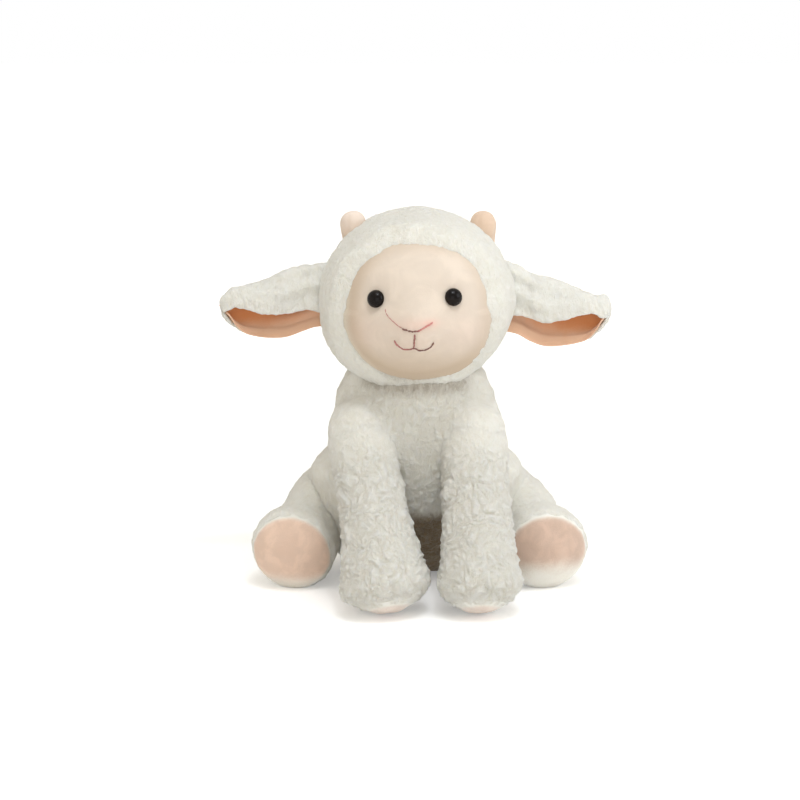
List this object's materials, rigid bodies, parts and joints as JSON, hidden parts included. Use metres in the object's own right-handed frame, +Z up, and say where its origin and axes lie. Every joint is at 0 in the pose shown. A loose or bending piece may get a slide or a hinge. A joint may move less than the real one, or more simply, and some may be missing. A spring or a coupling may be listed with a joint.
{
  "type": "plush lamb",
  "caption": "Soft stuffed lamb that sits on its rump, with folded ears, stub horns, a short-pile face and limbs that turn at their seams.",
  "frame": {"origin": "centre of the bounding box's underside, on the surface that the lamb sits on", "axes": "+X to the lamb's own left, along its outstretched ears; +Y to its back, so it looks along -Y; +Z up"},
  "size_m": [0.2784, 0.2072, 0.267],
  "materials": {
    "fleece": "curly plush pile",
    "skin": "short velvety pile",
    "lining": "short velvety pile",
    "horn": "short velvety pile",
    "eye": "polished dome",
    "thread": "satin embroidery thread",
    "stuffing": "loose polyester fibre",
    "pellets": "woven pouch filled with pellets",
    "plastic": "moulded"
  },
  "bodies": {
    "body": {"body_cover": "fleece", "body_filling": "stuffing", "pellet_pouch": "pellets"},
    "head": {"head_hood": "fleece", "face_panel": "skin", "head_filling": "stuffing", "nose_stitch": "thread", "lip_stitch": "thread", "mouth_stitch": "thread", "left_eye": "eye", "right_eye": "eye", "left_eye_washer": "plastic", "right_eye_washer": "plastic", "left_horn": "horn", "right_horn": "horn"},
    "tail": {"tail": "fleece"},
    "left_ear": {"left_ear": "fleece", "left_ear_lining": "lining"},
    "left_front_leg": {"left_front_leg": "fleece", "left_front_filling": "stuffing", "left_front_sole": "skin"},
    "left_hind_leg": {"left_hind_leg": "fleece", "left_hind_filling": "stuffing", "left_hind_pad": "skin"},
    "right_ear": {"right_ear": "fleece", "right_ear_lining": "lining"},
    "right_front_leg": {"right_front_leg": "fleece", "right_front_filling": "stuffing", "right_front_sole": "skin"},
    "right_hind_leg": {"right_hind_leg": "fleece", "right_hind_filling": "stuffing", "right_hind_pad": "skin"}
  },
  "joints": [
    {"name": "head_turn", "type": "hinge", "parent": "body", "child": "head", "pos_m": [0, 0.001, 0.203], "axis": [0, 0, 1], "range_deg": [-35, 35], "stiffness_Nm_per_rad": 0.12},
    {"name": "left_ear_fold", "type": "hinge", "parent": "head", "child": "left_ear", "pos_m": [0.06788, 0.005, 0.208], "axis": [0, 0, -1], "range_deg": [-30, 45], "stiffness_Nm_per_rad": 0.01},
    {"name": "left_front_leg_swing", "type": "hinge", "parent": "body", "child": "left_front_leg", "pos_m": [0.039, -0.029, 0.114], "axis": [-1, 0, 0], "range_deg": [0, 70], "stiffness_Nm_per_rad": 0.04},
    {"name": "left_hind_leg_spread", "type": "hinge", "parent": "body", "child": "left_hind_leg", "pos_m": [0.066, 0.037, 0.046], "axis": [0, 0, 1], "range_deg": [0, 40], "stiffness_Nm_per_rad": 0.04},
    {"name": "right_ear_fold", "type": "hinge", "parent": "head", "child": "right_ear", "pos_m": [-0.06788, 0.005, 0.208], "axis": [0, 0, 1], "range_deg": [-30, 45], "stiffness_Nm_per_rad": 0.01},
    {"name": "right_front_leg_swing", "type": "hinge", "parent": "body", "child": "right_front_leg", "pos_m": [-0.039, -0.029, 0.114], "axis": [-1, 0, 0], "range_deg": [0, 70], "stiffness_Nm_per_rad": 0.04},
    {"name": "right_hind_leg_spread", "type": "hinge", "parent": "body", "child": "right_hind_leg", "pos_m": [-0.066, 0.037, 0.046], "axis": [0, 0, -1], "range_deg": [0, 40], "stiffness_Nm_per_rad": 0.04},
    {"name": "tail_lift", "type": "hinge", "parent": "body", "child": "tail", "pos_m": [0, 0.0871, 0.064], "axis": [1, 0, 0], "range_deg": [0, 60], "stiffness_Nm_per_rad": 0.005}
  ]
}
